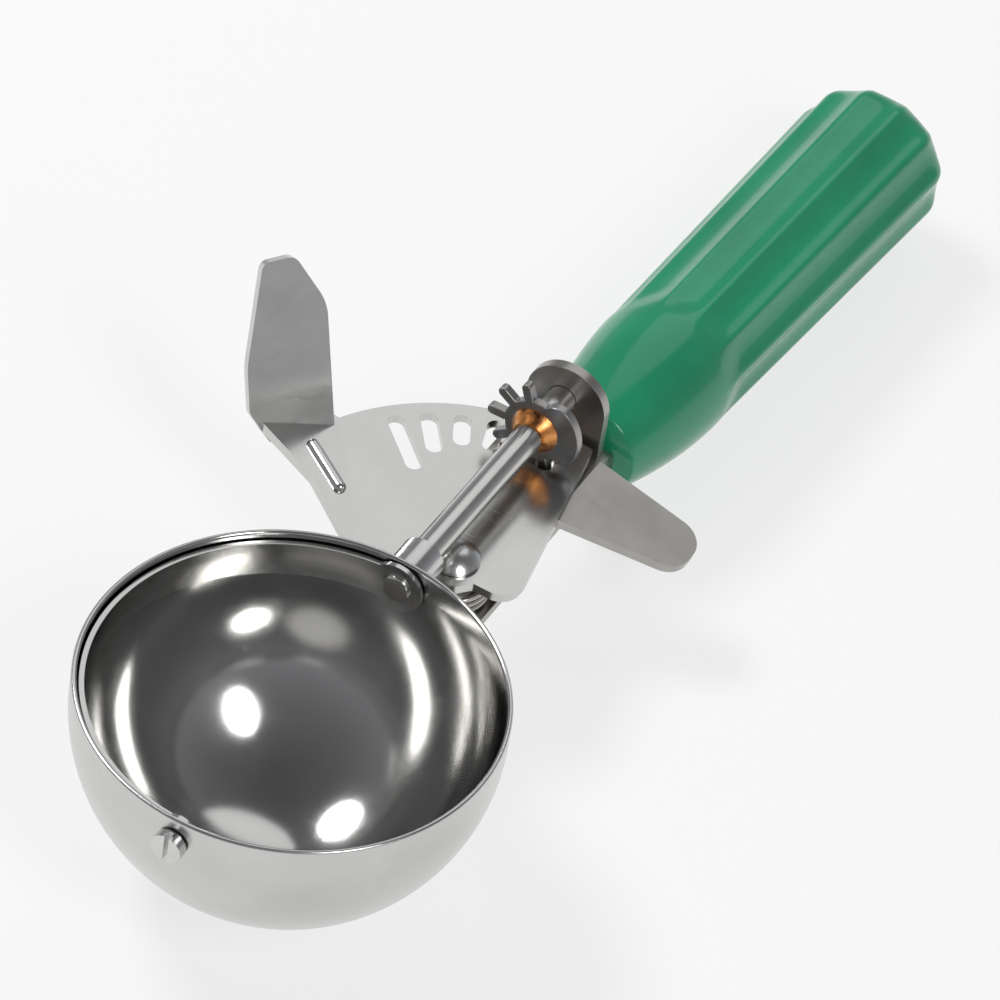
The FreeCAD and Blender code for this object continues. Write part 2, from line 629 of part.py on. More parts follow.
def tang_rivet_solids():
    """Two rivets, flush with the frame's deck and headed under the tang."""
    low = size.deck_top - size.frame_thick - size.tang_thick
    foot_low = low - size.tang_foot_height
    solids = []
    for x, y in tang_rivet_places():
        shank = Part.makeCylinder(size.tang_rivet_dia / 2, size.deck_top - low, vec(x, y, low))
        foot = Part.makeCylinder(size.tang_foot_dia / 2, size.tang_foot_height, vec(x, y, foot_low))
        rim = [edge for edge in foot.Edges if abs(edge.BoundBox.ZMax - foot_low) < SMALL]
        solids.append(shank.fuse(foot.makeFillet(size.tang_foot_round, rim)))
    return solids


def make_tang_and_rivets():
    rivets = tang_rivet_solids()
    keep(solid_feature("tang", tang_blank().cut(rivets)), "handle_tang")
    keep(solid_feature("tang_pins", Part.makeCompound(rivets)), "tang_rivets")


def grip_blank():
    """The handle's profile, turned about its own axis, with a round nose and a flat ended dome."""
    length, dome = size.grip_length, size.grip_end_round
    nose, front, end = size.grip_nose_radius, size.grip_front_radius, size.grip_end_radius
    inset = dome * (1 - math.sqrt(0.5))
    axis_start, nose_edge = CENTRE, vec(nose, 0, 0)
    bulge = vec(nose + NOSE_BULGE[0] * (front - nose), 0, NOSE_BULGE[1] * size.grip_shoulder)
    shoulder_edge = vec(front, 0, size.grip_shoulder)
    end_edge, crown_edge = vec(end, 0, length - dome), vec(end - dome, 0, length)
    round_point = vec(end - inset, 0, length - inset)
    axis_end = vec(0, 0, length)
    edges = [Part.makeLine(axis_start, nose_edge), Part.Arc(nose_edge, bulge, shoulder_edge).toShape(),
             Part.makeLine(shoulder_edge, end_edge), Part.Arc(end_edge, round_point, crown_edge).toShape(),
             Part.makeLine(crown_edge, axis_end), Part.makeLine(axis_end, axis_start)]
    return Part.Face(Part.Wire(edges)).revolve(CENTRE, UPWARD, 360)


def flute_cutters():
    """Round grooves along the handle, with ball ends, that follow its taper."""
    start = size.grip_shoulder + size.flute_start
    run = size.grip_length - size.grip_end_round - size.grip_shoulder
    length = run - size.flute_start + size.flute_overrun
    taper = math.degrees(math.atan2(size.grip_end_radius - size.grip_front_radius, run))
    off = size.grip_front_radius + size.flute_radius - size.flute_depth
    cutters = []
    for i in range(int(size.flute_count)):
        flute = Part.makeCylinder(size.flute_radius, length)
        flute = flute.fuse([Part.makeSphere(size.flute_radius, vec(0, 0, z)) for z in (0, length)])
        flute.rotate(CENTRE, vec(0, 1, 0), taper)
        flute.translate(vec(off, 0, start))
        flute.rotate(CENTRE, UPWARD, 360.0 * i / size.flute_count)
        cutters.append(flute)
    return cutters


def make_grip():
    """The moulded handle, with the space for the tang that it is moulded round."""
    body = grip_blank().cut(flute_cutters())
    yaw = FreeCAD.Rotation(UPWARD, size.grip_yaw)
    pitch = FreeCAD.Rotation(vec(0, 1, 0), 90 + size.grip_pitch)
    body.Placement = FreeCAD.Placement(vec(size.grip_start, size.grip_y, size.grip_z), yaw.multiply(pitch))
    return keep(solid_feature("grip", body.cut(tang_blank())), "handle_grip")


make_bowl()
make_blade()
make_front_pin()
make_shaft()
make_bushing()
make_pinion()
make_braze()
make_lever()
make_rivet()
make_ring("spacer", "spring_spacer", "Sizes.spacer_dia", SPACER_HEIGHT, "Sizes.seat_top")
make_ring("washer", "lever_washer", "Sizes.rivet_head_dia", "Sizes.washer_thick", WASHER_BASE)
make_spring()
make_frame()
make_tang_and_rivets()
make_grip()

doc.recompute()
for item in doc.Objects:
    if "Invalid" in item.State or "Error" in item.State:
        raise RuntimeError("failed object: " + item.Name)
for piece in FINISHED:
    if piece.Shape.isNull() or not piece.Shape.isValid():
        raise RuntimeError("bad shape: " + piece.Label)

os.makedirs("parts", exist_ok=True)
for piece in FINISHED:
    piece.Shape.exportStep("parts/%s.step" % piece.Label)
    box = piece.Shape.BoundBox
    print(piece.Label, len(piece.Shape.Solids), round(piece.Shape.Volume, 1),
          [round(v, 1) for v in (box.XMin, box.XMax, box.YMin, box.YMax, box.ZMin, box.ZMax)])
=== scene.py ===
import math

import bmesh
import bpy
import numpy as np
from bpy.props import FloatProperty, FloatVectorProperty, IntProperty, PointerProperty
from mathutils import Matrix, Vector


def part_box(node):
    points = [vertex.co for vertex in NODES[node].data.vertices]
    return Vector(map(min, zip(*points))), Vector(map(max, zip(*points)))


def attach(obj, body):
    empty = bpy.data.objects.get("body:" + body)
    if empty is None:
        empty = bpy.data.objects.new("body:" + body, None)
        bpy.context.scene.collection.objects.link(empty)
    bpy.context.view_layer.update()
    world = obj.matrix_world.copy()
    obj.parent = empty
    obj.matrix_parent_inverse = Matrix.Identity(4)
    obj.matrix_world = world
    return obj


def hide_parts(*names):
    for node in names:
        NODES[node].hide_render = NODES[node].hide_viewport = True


bl_info = {
    "name": "Lever ice cream scoop",
    "version": (1, 0, 0),
    "blender": (4, 5, 0),
    "location": "View3D > Sidebar > Scoop",
    "description": "Finishes a thumb lever scoop: polished bowl, sheet metal lever and fluted handle",
    "category": "Object",
}

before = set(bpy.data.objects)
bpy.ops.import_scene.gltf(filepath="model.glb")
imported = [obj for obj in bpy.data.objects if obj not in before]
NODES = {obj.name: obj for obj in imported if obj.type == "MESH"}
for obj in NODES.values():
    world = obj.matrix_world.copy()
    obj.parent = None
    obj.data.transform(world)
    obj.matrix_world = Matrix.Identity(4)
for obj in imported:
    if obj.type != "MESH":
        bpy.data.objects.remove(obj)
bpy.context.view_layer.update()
MM = 0.001
BOWL_LOW, BOWL_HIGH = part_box("bowl")
WHITE = (1, 1, 1, 1)

# Meshes: steps along each curve, and how flat faces are joined and edges rounded
SWEEP_STEPS = 72
LIP_STEPS = 9
NOSE_STEPS = 40
BODY_STEPS = 90
END_STEPS = 20
HANDLE_STEPS = 360
SMOOTH_ANGLE = math.radians(32)
FLAT_ANGLE = math.radians(0.4)
MERGE_DISTANCE = 1e-7
BEVEL_STEPS = 2
SHEET_EDGE = 0.28 * MM
GEAR_EDGE = 0.2 * MM
FLUTE_EDGE = 0.16 * MM

# The stage: the camera's sensor in mm, the floor, and each lamp's place, width and height
SENSOR_WIDTH = 36.0
FLOOR_HALF = 3.0
FLOOR_COLOUR = (0.93, 0.93, 0.93, 1.0)
LAMP_AIM = Vector((60 * MM, 0, 0))
LAMPS = {
    "key": ((0.15, 0.75, 0.95), 0.45, 0.35),
    "fill": ((-0.35, -0.75, 0.85), 0.35, 0.5),
    "card": ((0.75, 0.12, 0.8), 0.85, 0.85),
}


class BowlSizes(bpy.types.PropertyGroup):
    """Sizes and finish of the bowl."""

    radius: FloatProperty(name="Radius", description="Outer radius", default=BOWL_HIGH[0], unit="LENGTH")
    rim: FloatProperty(name="Rim height", description="Rim above the centre", default=BOWL_HIGH[2],
                       unit="LENGTH")
    wall: FloatProperty(name="Wall", description="Sheet thickness", default=0.9 * MM, unit="LENGTH")
    turns: IntProperty(name="Steps", description="Steps round the bowl", default=256, min=32)
    steel: FloatVectorProperty(name="Steel", description="Colour of the steel", subtype="COLOR",
                               default=(0.62, 0.615, 0.60))


class HandleSizes(bpy.types.PropertyGroup):
    """Sizes and colour of the handle."""

    start: FloatVectorProperty(name="Start", description="Where the axis starts", subtype="TRANSLATION",
                               default=(89.5 * MM, -3.8 * MM, -12.75 * MM))
    length: FloatProperty(name="Length", description="Along its axis", default=101.3 * MM, unit="LENGTH")
    nose: FloatProperty(name="Nose radius", description="At the front", default=8.6 * MM, unit="LENGTH")
    front: FloatProperty(name="Front radius", description="At the shoulder", default=12.6 * MM, unit="LENGTH")
    end: FloatProperty(name="End radius", description="Before the rounding", default=13.9 * MM, unit="LENGTH")
    shoulder: FloatProperty(name="Shoulder", description="Length of the nose", default=25.5 * MM,
                            unit="LENGTH")
    rounding: FloatProperty(name="Rounding", description="Radius at the end", default=7.0 * MM, unit="LENGTH")
    yaw: FloatProperty(name="Yaw", description="Turn about Z", default=math.radians(-1.9), unit="ROTATION")
    pitch: FloatProperty(name="Pitch", description="Fall of the axis", default=math.radians(2.0),
                         unit="ROTATION")
    flutes: IntProperty(name="Flutes", description="Grooves round the handle", default=12, min=3)
    flute_radius: FloatProperty(name="Flute radius", description="Radius of a groove", default=8.0 * MM,
                                unit="LENGTH")
    flute_depth: FloatProperty(name="Flute depth", description="Depth of a groove", default=0.9 * MM,
                               unit="LENGTH")
    flute_start: FloatProperty(name="Flute start", description="After the shoulder", default=6.0 * MM,
                               unit="LENGTH")
    plastic: FloatVectorProperty(name="Plastic", description="Colour of the handle", subtype="COLOR",
                                 default=(0.019, 0.30, 0.145))


class StageSizes(bpy.types.PropertyGroup):
    """The camera, the floor and the lamps."""

    turn: FloatProperty(name="Camera turn", description="Turn about Z", default=math.radians(66.69),
                        unit="ROTATION")
    height: FloatProperty(name="Camera elevation", description="Above the horizon",
                          default=math.radians(44.51), unit="ROTATION")
    roll: FloatProperty(name="Camera roll", description="Turn about its axis", default=math.radians(9.65),
                        unit="ROTATION")
    offset: FloatVectorProperty(name="Camera offset", description="Right, up and back from the bowl",
                                subtype="TRANSLATION", default=(32.2 * MM, 31.87 * MM, 1.0))
    lens: FloatProperty(name="Lens", description="Focal length in mm", default=234.7)
    floor_slope: FloatProperty(name="Floor slope", description="Rise of the floor along X", default=0.0214)
    key: FloatProperty(name="Key lamp", description="Power in watts", default=7.5)
    fill: FloatProperty(name="Fill lamp", description="Power in watts", default=4.0)
    card: FloatProperty(name="Card", description="Power in watts of the card behind", default=1.4)
    glow: FloatProperty(name="Floor glow", description="Share of plain white in the floor", default=0.72)


class Wire:
    """A shader output that Python's operators work on."""

    def __init__(self, shader, socket):
        self.shader = shader
        self.socket = socket

    def join(self, operation, first, second):
        return self.shader.node("ShaderNodeMath", {"operation": operation}, {0: first, 1: second})

    def __add__(self, other):
        return self.join("ADD", self, other)

    def __radd__(self, other):
        return self.join("ADD", other, self)

    def __sub__(self, other):
        return self.join("SUBTRACT", self, other)

    def __rsub__(self, other):
        return self.join("SUBTRACT", other, self)

    def __mul__(self, other):
        return self.join("MULTIPLY", self, other)

    def __pow__(self, other):
        return self.join("POWER", self, other)

    def larger(self, other):
        return self.join("MAXIMUM", self, other)


class Shader:
    """A material's node tree, and the finishes that are worked out in it."""

    def __init__(self, tree):
        self.tree = tree
        self.tree.nodes.clear()

    def node(self, kind, settings=None, inputs=None, output=0):
        """Adds a node: its settings first, then the values or links of its sockets."""
        made = self.tree.nodes.new(kind)
        for name, value in (settings or {}).items():
            if name == "stops":
                ramp = made.color_ramp.elements
                ramp[0].position, ramp[0].color = value[0]
                ramp[1].position, ramp[1].color = value[-1]
                for place, colour in value[1:-1]:
                    ramp.new(place).color = colour
            else:
                setattr(made, name, value)
        for name, value in (inputs or {}).items():
            if isinstance(value, Wire):
                self.tree.links.new(value.socket, made.inputs[name])
            else:
                made.inputs[name].default_value = value
        return Wire(self, made.outputs[output]) if len(made.outputs) else made

    def place(self):
        return self.node("ShaderNodeTexCoord", output="Object")

    def axes(self):
        """The three object coordinates as separate values."""
        split = self.node("ShaderNodeSeparateXYZ", None, {0: self.place()})
        outputs = split.socket.node.outputs
        return [Wire(self, outputs[i]) for i in range(3)]

    def mapped(self, scale, turn=(0, 0, 0)):
        return self.node("ShaderNodeMapping", None,
                         {"Vector": self.place(), "Scale": scale, "Rotation": turn})

    def noise(self, where, scale=1.0, detail=4.0, rough=0.55):
        return self.node("ShaderNodeTexNoise", None,
                         {"Vector": where, "Scale": scale, "Detail": detail, "Roughness": rough})

    def step(self, value, low, high):
        """Rises smoothly from 0 at low to 1 at high."""
        return self.node("ShaderNodeMapRange", {"interpolation_type": "SMOOTHSTEP"},
                         {"Value": value, "From Min": low, "From Max": high})

    def mix(self, factor, first, second):
        return self.node("ShaderNodeMix", {"data_type": "RGBA"}, {0: factor, 6: first, 7: second}, output=2)

    def distance(self, first, second):
        """Distance from an axis, from the two coordinates across it."""
        return (first * first + second * second) ** 0.5

    def scratches(self, turn, amount=0.66):
        """Fine straight lines: noise stretched along one way, kept only where it is high."""
        lines = self.noise(self.mapped((2600.0, 26.0, 260.0), turn), 1.0, 3.0)
        patches = self.step(self.noise(self.mapped((90.0, 90.0, 90.0)), 1.0, 2.0), 0.45, 0.62)
        return self.step(lines, amount, amount + 0.08) * patches

    def surface(self, base, rough, metal, height=None, depth=0.0, **constants):
        inputs = {"Base Color": base, "Roughness": rough, "Metallic": metal}
        inputs.update({name.replace("_", " "): value for name, value in constants.items()})
        if height is not None:
            inputs["Normal"] = self.node("ShaderNodeBump", None,
                                         {"Strength": 1.0, "Distance": depth, "Height": height})
        shader = self.node("ShaderNodeBsdfPrincipled", None, inputs)
        self.node("ShaderNodeOutputMaterial", None, {"Surface": shader})


def new_shader(name):
    material = bpy.data.materials.new(name)
    material.use_nodes = True
    return material, Shader(material.node_tree)


def colour(values, share=1.0):
    return tuple(v * share for v in values[:3]) + (1.0,)


def steel(name, base, rough, grain=(40.0, 900.0, 900.0), tint=0.10, marks=0.5, lines=0.12):
    """Steel with drawn grain, soft smudges and fine scratches."""
    material, shader = new_shader(name)
    streaks = shader.noise(shader.mapped(grain), 1.0, 5.0)
    smudge = shader.noise(shader.mapped((70.0, 70.0, 70.0)), 1.0, 3.0)
    scratched = shader.scratches((0, 0, 0.4)).larger(shader.scratches((0.3, 0.2, 1.9)))
    tone = shader.step(smudge, 0.3, 0.7)
    shade = shader.mix(tone, colour(base, 1.0 - tint), colour(base))
    roughness = rough + streaks * lines + tone * 0.05 + scratched * (0.18 * marks)
    shader.surface(shade, roughness, 1.0, streaks * 0.5 - scratched * marks, 4e-6)
    return material


def turned_steel(name, base, rough, ring_scale, across, depth):
    """Steel turned on a lathe: fine rings at a steady distance from the axis or along it."""
    material, shader = new_shader(name)
    x, y, z = shader.axes()
    distance = shader.distance(x, y) if across else z
    ring_place = shader.node("ShaderNodeCombineXYZ", None, {0: distance * ring_scale})
    rings = shader.noise(ring_place, 1.0, 4.0, 0.7)
    smudge = shader.noise(shader.mapped((60.0, 60.0, 60.0)), 1.0, 4.0)
    tone = shader.step(smudge, 0.35, 0.68)
    scratched = shader.scratches((0, 0, 0.7), 0.68).larger(shader.scratches((0.4, 0, 2.3), 0.68))
    shade = shader.mix(tone, colour(base, 0.93), colour(base))
    roughness = rough + rings * 0.06 + tone * 0.05 + scratched * 0.12
    shader.surface(shade, roughness, 1.0, rings - scratched * 0.4, depth)
    return material


def braze_copper(name):
    """Flowed copper with steel coloured and burnt patches."""
    material, shader = new_shader(name)
    flow = shader.noise(shader.mapped((420.0, 420.0, 420.0)), 1.0, 5.0, 0.6)
    shade = shader.node("ShaderNodeValToRGB", {"stops": [
        (0.34, (0.10, 0.045, 0.025, 1)), (0.46, (0.62, 0.24, 0.07, 1)),
        (0.58, (0.80, 0.40, 0.15, 1)), (0.72, (0.62, 0.55, 0.47, 1))]}, {0: flow})
    shader.surface(shade, 0.22 + flow * 0.2, 1.0, flow, 6e-5)
    return material


def heated_steel(name, base):
    """Stamped steel with a copper stain near the shaft and a blue grey heat tint."""
    material, shader = new_shader(name)
    x, y, z = shader.axes()
    radius = shader.distance(y, z)
    cloud = shader.noise(shader.mapped((350.0, 350.0, 350.0)), 1.0, 5.0)
    stain = 1.0 - shader.step(radius + cloud * 0.0035, 4.6 * MM, 6.6 * MM)
    tinted = shader.mix(shader.step(cloud, 0.42, 0.66), colour(base, 0.72), colour((0.34, 0.37, 0.42)))
    shade = shader.mix(stain, tinted, colour((0.66, 0.30, 0.11)))
    shader.surface(shade, 0.26 + cloud * 0.16, 1.0, cloud, 2e-5)
    return material


def green_plastic(name, base):
    """Glossy moulded plastic with faint mottling and hair fine rubs."""
    material, shader = new_shader(name)
    mottle = shader.noise(shader.mapped((45.0, 45.0, 45.0)), 1.0, 3.0)
    skin = shader.noise(shader.mapped((900.0, 900.0, 900.0)), 1.0, 2.0)
    rubs = shader.scratches((0.2, 0.1, 0.2), 0.69)
    shade = shader.mix(shader.step(mottle, 0.3, 0.7), colour(base, 0.88), colour(base, 1.06))
    shader.surface(shade, 0.13 + mottle * 0.06 + rubs * 0.12, 0.0, skin * 0.4 - rubs, 5e-6,
                   IOR=1.5, Coat_Roughness=0.06)
    return material


def make_piece(name, points, faces, materials, body, replaced, face_slots=None):
    """A smooth mesh that rides on a body and stands for a CAD node."""
    mesh = bpy.data.meshes.new(name)
    mesh.from_pydata(points.tolist(), [], faces)
    mesh.update()
    for material in materials:
        mesh.materials.append(material)
    if face_slots is not None:
        mesh.polygons.foreach_set("material_index", face_slots)
    mesh.shade_smooth()
    piece = bpy.data.objects.new(name, mesh)
    bpy.context.scene.collection.objects.link(piece)
    tidy = bmesh.new()
    tidy.from_mesh(mesh)
    bmesh.ops.recalc_face_normals(tidy, faces=tidy.faces)
    tidy.to_mesh(mesh)
    tidy.free()
    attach(piece, body)
    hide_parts(replaced)
    return piece


def lathe(profile, turns):
    """Points (r cos t, r sin t, z) for each profile point and step t, with a single point at each end."""
    inner = profile[1:-1]
    steps = np.linspace(0, 2 * math.pi, turns, endpoint=False)
    rings = np.stack([np.outer(inner[:, 0], np.cos(steps)), np.outer(inner[:, 0], np.sin(steps)),
                      np.repeat(inner[:, 1:2], turns, axis=1)], axis=-1).reshape(-1, 3)
    ends = np.array([[0, 0, profile[0, 1]], [0, 0, profile[-1, 1]]])
    return np.vstack([rings, ends]), grid_faces(len(inner), turns, len(rings), len(rings) + 1)


def grid_faces(rows, turns, first_pole, last_pole):
    """Quads between neighbouring rings, and a fan of triangles to the pole at each end."""
    here = np.arange(turns)
    after = (here + 1) % turns
    base = np.arange(rows - 1)[:, None] * turns
    quads = np.stack([base + here, base + after, base + turns + after, base + turns + here], axis=-1)
    last = (rows - 1) * turns
    low = np.stack([np.full(turns, first_pole), after, here], axis=-1)
    high = np.stack([np.full(turns, last_pole), last + here, last + after], axis=-1)
    return quads.reshape(-1, 4).tolist() + low.tolist() + high.tolist()


def softened(node, name, width, materials, body):
    """A merged copy of a CAD node with its flat faces joined and its edges rounded."""
    mesh = NODES[node].data.copy()
    mesh.name = name
    mesh.materials.clear()
    work = bmesh.new()
    work.from_mesh(mesh)
    bmesh.ops.remove_doubles(work, verts=work.verts, dist=MERGE_DISTANCE)
    bmesh.ops.dissolve_limit(work, angle_limit=FLAT_ANGLE, verts=work.verts, edges=work.edges)
    work.to_mesh(mesh)
    work.free()
    if mesh.has_custom_normals:
        mesh.attributes.remove(mesh.attributes["custom_normal"])
    for material in materials:
        mesh.materials.append(material)
    mesh.shade_smooth()
    mesh.set_sharp_from_angle(angle=SMOOTH_ANGLE)
    piece = bpy.data.objects.new(name, mesh)
    bpy.context.scene.collection.objects.link(piece)
    bevel = piece.modifiers.new("rounded_edges", "BEVEL")
    bevel.width = width
    bevel.segments = BEVEL_STEPS
    bevel.limit_method = "ANGLE"
    bevel.angle_limit = SMOOTH_ANGLE
    bevel.harden_normals = True
    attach(piece, body)
    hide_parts(node)
    return piece


def repaint(node, material):
    """Gives a CAD node a better material and leaves its mesh alone."""
    data = NODES[node].data
    data.materials.clear()
    data.materials.append(material)


class SCOOP_OT_bowl(bpy.types.Operator):
    """Spins the bowl: mirror polished inside, satin outside, with a rounded rim"""

    bl_idname = "scoop.bowl"
    bl_label = "Bowl"

    def execute(self, context):
        sizes = context.scene.scoop_bowl
        inside = sizes.radius - sizes.wall
        sweep = np.linspace(0, math.pi / 2, SWEEP_STEPS)
        lip = np.linspace(0, math.pi, LIP_STEPS)[1:-1]
        middle = sizes.radius - sizes.wall / 2
        lip_height = sizes.rim - sizes.wall / 2
        wall_in = np.column_stack([inside * np.sin(sweep), -inside * np.cos(sweep)])
        lip_arc = np.column_stack([middle - sizes.wall / 2 * np.cos(lip),
                                   lip_height + sizes.wall / 2 * np.sin(lip)])
        wall_out = np.column_stack([sizes.radius * np.cos(sweep), -sizes.radius * np.sin(sweep)])
        profile = np.vstack([wall_in, [[inside, lip_height]], lip_arc,
                             [[sizes.radius, lip_height]], wall_out])
        points, faces = lathe(profile, sizes.turns)
        heights = points[:, 2]
        reach = np.linalg.norm(points * (1, 1, 0) + np.minimum(heights, 0)[:, None] * (0, 0, 1), axis=1)
        outer = [int(reach[list(face)].mean() > middle) for face in faces]
        shiny = turned_steel("bowl_polished", sizes.steel, 0.07, 9000.0, True, 2.5e-6)
        satin = turned_steel("bowl_satin", sizes.steel, 0.20, 7000.0, False, 4e-6)
        make_piece("bowl_shell", points, faces, [shiny, satin], "base", "bowl", outer)
        return {"FINISHED"}


def handle_radius(sizes, along):
    """Radius along the axis: an arc for the nose, a straight taper, then a quarter round at the end."""
    grow = np.clip(along / sizes.shoulder, 0, 1)
    nose = sizes.nose + (sizes.front - sizes.nose) * np.sin(grow * math.pi / 2) ** 0.9
    straight = sizes.length - sizes.rounding
    share = np.clip((along - sizes.shoulder) / (straight - sizes.shoulder), 0, 1)
    body = sizes.front + (sizes.end - sizes.front) * share
    past = np.clip(along - straight, 0, sizes.rounding)
    end = body - sizes.rounding + np.sqrt(sizes.rounding ** 2 - past ** 2)
    return np.where(along < sizes.shoulder, nose, np.where(along > straight, end, body))


def flute_cut(sizes, radius, angle):
    """How deep the nearest round groove is at an angle, from the circle of its section."""
    pitch = 2 * math.pi / sizes.flutes
    off = np.abs((angle + pitch / 2) % pitch - pitch / 2)
    centre = radius + sizes.flute_radius - sizes.flute_depth
    inside = sizes.flute_radius ** 2 - (centre * np.sin(off)) ** 2
    depth = radius - (centre * np.cos(off) - np.sqrt(np.maximum(inside, 0)))
    depth = np.where(inside > 0, depth, -FLUTE_EDGE * 4)
    return FLUTE_EDGE * np.log1p(np.exp(np.clip(depth / FLUTE_EDGE, -30, 30)))


class SCOOP_OT_handle(bpy.types.Operator):
    """Moulds the fluted handle"""

    bl_idname = "scoop.handle"
    bl_label = "Handle"

    def execute(self, context):
        sizes = context.scene.scoop_handle
        straight = sizes.length - sizes.rounding
        nose = np.linspace(0, sizes.shoulder, NOSE_STEPS)
        body = np.linspace(sizes.shoulder, straight, BODY_STEPS)[1:]
        end = straight + sizes.rounding * np.sin(np.linspace(0, math.pi / 2, END_STEPS))[1:]
        along = np.concatenate([nose, body, end])
        steps = np.linspace(0, 2 * math.pi, HANDLE_STEPS, endpoint=False)
        radius = handle_radius(sizes, along)[:, None]
        first = sizes.shoulder + sizes.flute_start
        lead = sizes.flute_radius
        fade = np.clip((along - first + lead) / lead, 0, 1) * np.clip((straight + lead - along) / lead, 0, 1)
        fade = (fade * fade * (3 - 2 * fade))[:, None]
        surface = radius - flute_cut(sizes, radius, steps[None, :]) * fade
        points = np.stack([surface * np.cos(steps), surface * np.sin(steps),
                           np.repeat(along[:, None], len(steps), axis=1)], axis=-1).reshape(-1, 3)
        ends = np.array([[0, 0, 0], [0, 0, sizes.length]])
        faces = grid_faces(len(along), len(steps), len(points), len(points) + 1)
        turned = Matrix.Rotation(sizes.yaw, 3, "Z") @ Matrix.Rotation(math.pi / 2 + sizes.pitch, 3, "Y")
        placed = np.vstack([points, ends]) @ np.array(turned).T + np.array(sizes.start)
        material = green_plastic("handle_green", sizes.plastic)
        make_piece("handle_moulded", placed, faces, [material], "base", "handle_grip")
        return {"FINISHED"}


class SCOOP_OT_lever(bpy.types.Operator):
    """Rounds and polishes the thumb lever's sheet"""

    bl_idname = "scoop.lever"
    bl_label = "Thumb lever"

    def execute(self, context):
        base = context.scene.scoop_bowl.steel
        sheet = steel("lever_polished", base, rough=0.12, grain=(60.0, 500.0, 500.0), tint=0.06, marks=0.4)
        softened("thumb_lever", "lever_sheet", SHEET_EDGE, [sheet], "lever")
        return {"FINISHED"}


class SCOOP_OT_frame(bpy.types.Operator):
    """Rounds the frame's edges and gives it a tumbled finish"""

    bl_idname = "scoop.frame"
    bl_label = "Frame and tang"

    def execute(self, context):
        tumbled = steel("frame_tumbled", (0.46, 0.445, 0.42), rough=0.24, grain=(300.0, 300.0, 300.0),
                        tint=0.22, marks=0.8)
        softened("handle_frame", "frame_sheet", SHEET_EDGE, [tumbled], "base")
        repaint("handle_tang", tumbled)
        return {"FINISHED"}


class SCOOP_OT_scraper(bpy.types.Operator):
    """Finishes the blade, the shaft, the pinion and its braze"""

    bl_idname = "scoop.scraper"
    bl_label = "Scraper and gear"

    def execute(self, context):
        base = context.scene.scoop_bowl.steel
        heated = heated_steel("gear_heated", (0.50, 0.48, 0.45))
        softened("pinion", "gear_sheet", GEAR_EDGE, [heated], "scraper")
        repaint("pinion_braze", braze_copper("braze_flowed"))
        repaint("scraper_blade", steel("blade_polished", base, rough=0.10, grain=(30.0, 800.0, 800.0),
                                       tint=0.08, marks=0.4))
        repaint("scraper_shaft", steel("shaft_ground", (0.66, 0.65, 0.63), rough=0.14,
                                       grain=(1800.0, 60.0, 60.0), tint=0.12))
        return {"FINISHED"}


class SCOOP_OT_fasteners(bpy.types.Operator):
    """Finishes the rivets, pins, rings, bushing and spring"""

    bl_idname = "scoop.fasteners"
    bl_label = "Fasteners and spring"

    def execute(self, context):
        bright = steel("pin_bright", (0.66, 0.66, 0.65), rough=0.15, grain=(400.0, 400.0, 400.0), tint=0.15)
        for node in ("blade_front_pin", "shaft_bushing", "lever_rivet", "spring_spacer", "lever_washer",
                     "tang_rivets"):
            repaint(node, bright)
        repaint("return_spring", steel("spring_drawn", (0.60, 0.58, 0.54), rough=0.18,
                                       grain=(900.0, 90.0, 90.0), tint=0.2))
        return {"FINISHED"}


def camera_axes(sizes):
    """The camera's right, up and back, from its turn, elevation and roll."""
    right = Vector((math.cos(sizes.turn), -math.sin(sizes.turn), 0))
    ahead = Vector((math.sin(sizes.turn), math.cos(sizes.turn), 0))
    back = -ahead * math.cos(sizes.height) + Vector((0, 0, 1)) * math.sin(sizes.height)
    up = back.cross(right)
    rolled_right = right * math.cos(sizes.roll) + up * math.sin(sizes.roll)
    rolled_up = up * math.cos(sizes.roll) - right * math.sin(sizes.roll)
    return rolled_right, rolled_up, back


def add_camera(sizes):
    right, up, back = camera_axes(sizes)
    camera = bpy.data.objects.new("camera", bpy.data.cameras.new("camera"))
    camera.data.lens = sizes.lens
    camera.data.sensor_width = SENSOR_WIDTH
    camera.data.sensor_fit = "HORIZONTAL"
    turned = Matrix((right, up, back)).transposed().to_4x4()
    place = right * sizes.offset[0] + up * sizes.offset[1] + back * sizes.offset[2]
    camera.matrix_world = Matrix.Translation(place) @ turned
    bpy.context.scene.collection.objects.link(camera)
    bpy.context.scene.camera = camera


def add_lamp(name, place, power, width, height):
    """A soft round lamp that faces the scoop."""
    lamp = bpy.data.lights.new(name, "AREA")
    lamp.energy = power
    lamp.shape = "ELLIPSE"
    lamp.size = width
    lamp.size_y = height
    box = bpy.data.objects.new(name, lamp)
    box.location = place
    box.rotation_euler = (LAMP_AIM - Vector(place)).to_track_quat("-Z", "Y").to_euler()
    bpy.context.scene.collection.objects.link(box)


def rays(shader, *kinds):
    """1 for rays of any of the kinds, and 0 for all others."""
    path = shader.node("ShaderNodeLightPath").socket.node.outputs
    found = Wire(shader, path[kinds[0]])
    for kind in kinds[1:]:
        found = found.larger(Wire(shader, path[kind]))
    return found


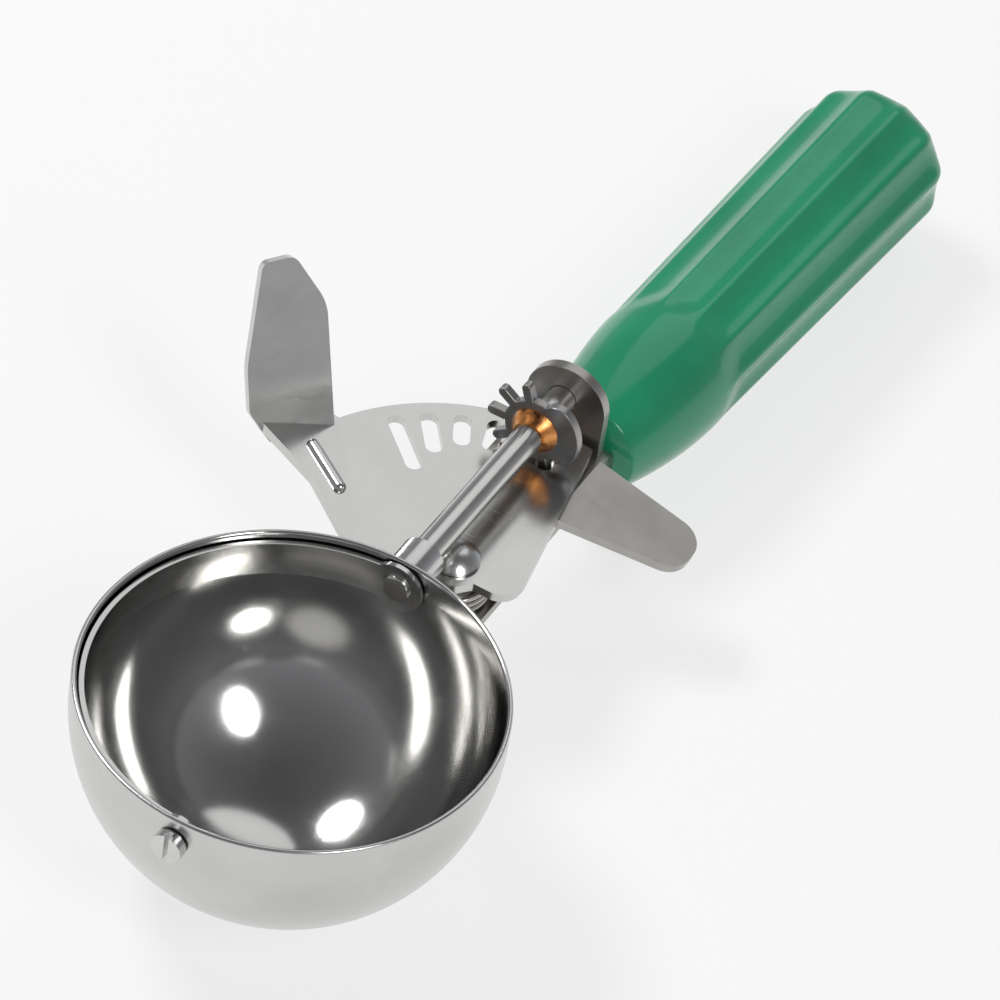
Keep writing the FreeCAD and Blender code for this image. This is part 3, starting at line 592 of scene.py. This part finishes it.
def add_floor(sizes):
    """A pale floor that touches the ball of the bowl and rises to the handle's end."""
    slope = sizes.floor_slope
    depth = BOWL_HIGH[0] * math.sqrt(1 + slope * slope)
    signs = ((-1, -1), (1, -1), (1, 1), (-1, 1))
    corners = [(x * FLOOR_HALF, y * FLOOR_HALF, slope * x * FLOOR_HALF - depth) for x, y in signs]
    mesh = bpy.data.meshes.new("floor")
    mesh.from_pydata(corners, [], [(0, 1, 2, 3)])
    material, shader = new_shader("floor_white")
    diffuse = shader.node("ShaderNodeBsdfDiffuse", None, {"Color": FLOOR_COLOUR})
    glow = shader.node("ShaderNodeEmission", None, {"Color": WHITE, "Strength": 1.0})
    shown = rays(shader, "Is Camera Ray", "Is Glossy Ray", "Is Transmission Ray")
    mixed = shader.node("ShaderNodeMixShader", None, {0: shown * sizes.glow, 1: diffuse, 2: glow})
    shader.node("ShaderNodeOutputMaterial", None, {"Surface": mixed})
    mesh.materials.append(material)
    floor = bpy.data.objects.new("floor", mesh)
    bpy.context.scene.collection.objects.link(floor)


def add_world():
    """A room that is white to the camera, pale round the sides and darker overhead."""
    world = bpy.data.worlds.new("studio")
    world.use_nodes = True
    bpy.context.scene.world = world
    shader = Shader(world.node_tree)
    way = shader.node("ShaderNodeTexCoord", output="Generated")
    split = shader.node("ShaderNodeSeparateXYZ", None, {0: way})
    height = Wire(shader, split.socket.node.outputs[2])
    room = shader.node("ShaderNodeValToRGB", {"stops": [
        (0.0, (0.75, 0.76, 0.78, 1)), (0.42, (0.55, 0.56, 0.58, 1)), (0.68, (0.26, 0.265, 0.28, 1)),
        (1.0, (0.10, 0.10, 0.105, 1))]}, {0: height * 0.5 + 0.5})
    shade = shader.mix(rays(shader, "Is Camera Ray"), room, WHITE)
    background = shader.node("ShaderNodeBackground", None, {"Color": shade, "Strength": 1.0})
    shader.node("ShaderNodeOutputWorld", None, {"Surface": background})


class SCOOP_OT_stage(bpy.types.Operator):
    """Sets up the camera, the white floor and the soft lamps"""

    bl_idname = "scoop.stage"
    bl_label = "Stage"

    def execute(self, context):
        sizes = context.scene.scoop_stage
        add_camera(sizes)
        add_floor(sizes)
        add_world()
        for name, (place, width, height) in LAMPS.items():
            add_lamp(name + "_lamp", place, getattr(sizes, name), width, height)
        context.scene.view_settings.view_transform = "Standard"
        return {"FINISHED"}


class SCOOP_PT_panel(bpy.types.Panel):
    """Lists the scoop's pieces and their sizes."""

    bl_label = "Lever ice cream scoop"
    bl_idname = "SCOOP_PT_panel"
    bl_space_type = "VIEW_3D"
    bl_region_type = "UI"
    bl_category = "Scoop"

    def draw(self, context):
        for operator in OPERATORS:
            self.layout.operator(operator.bl_idname)
        for group in (context.scene.scoop_bowl, context.scene.scoop_handle, context.scene.scoop_stage):
            for name in group.bl_rna.properties.keys()[2:]:
                self.layout.prop(group, name)


GROUPS = {"scoop_bowl": BowlSizes, "scoop_handle": HandleSizes, "scoop_stage": StageSizes}
OPERATORS = (SCOOP_OT_stage, SCOOP_OT_bowl, SCOOP_OT_handle, SCOOP_OT_lever, SCOOP_OT_frame,
             SCOOP_OT_scraper, SCOOP_OT_fasteners)


def register():
    for kind in (*GROUPS.values(), *OPERATORS, SCOOP_PT_panel):
        bpy.utils.register_class(kind)
    for name, group in GROUPS.items():
        setattr(bpy.types.Scene, name, PointerProperty(type=group))


def unregister():
    for name in GROUPS:
        delattr(bpy.types.Scene, name)
    for kind in (SCOOP_PT_panel, *reversed(OPERATORS), *reversed(list(GROUPS.values()))):
        bpy.utils.unregister_class(kind)


def main():
    register()
    bpy.ops.scoop.stage()
    bpy.ops.scoop.bowl()
    bpy.ops.scoop.handle()
    bpy.ops.scoop.lever()
    bpy.ops.scoop.frame()
    bpy.ops.scoop.scraper()
    bpy.ops.scoop.fasteners()


if __name__ == "__main__":
    main()
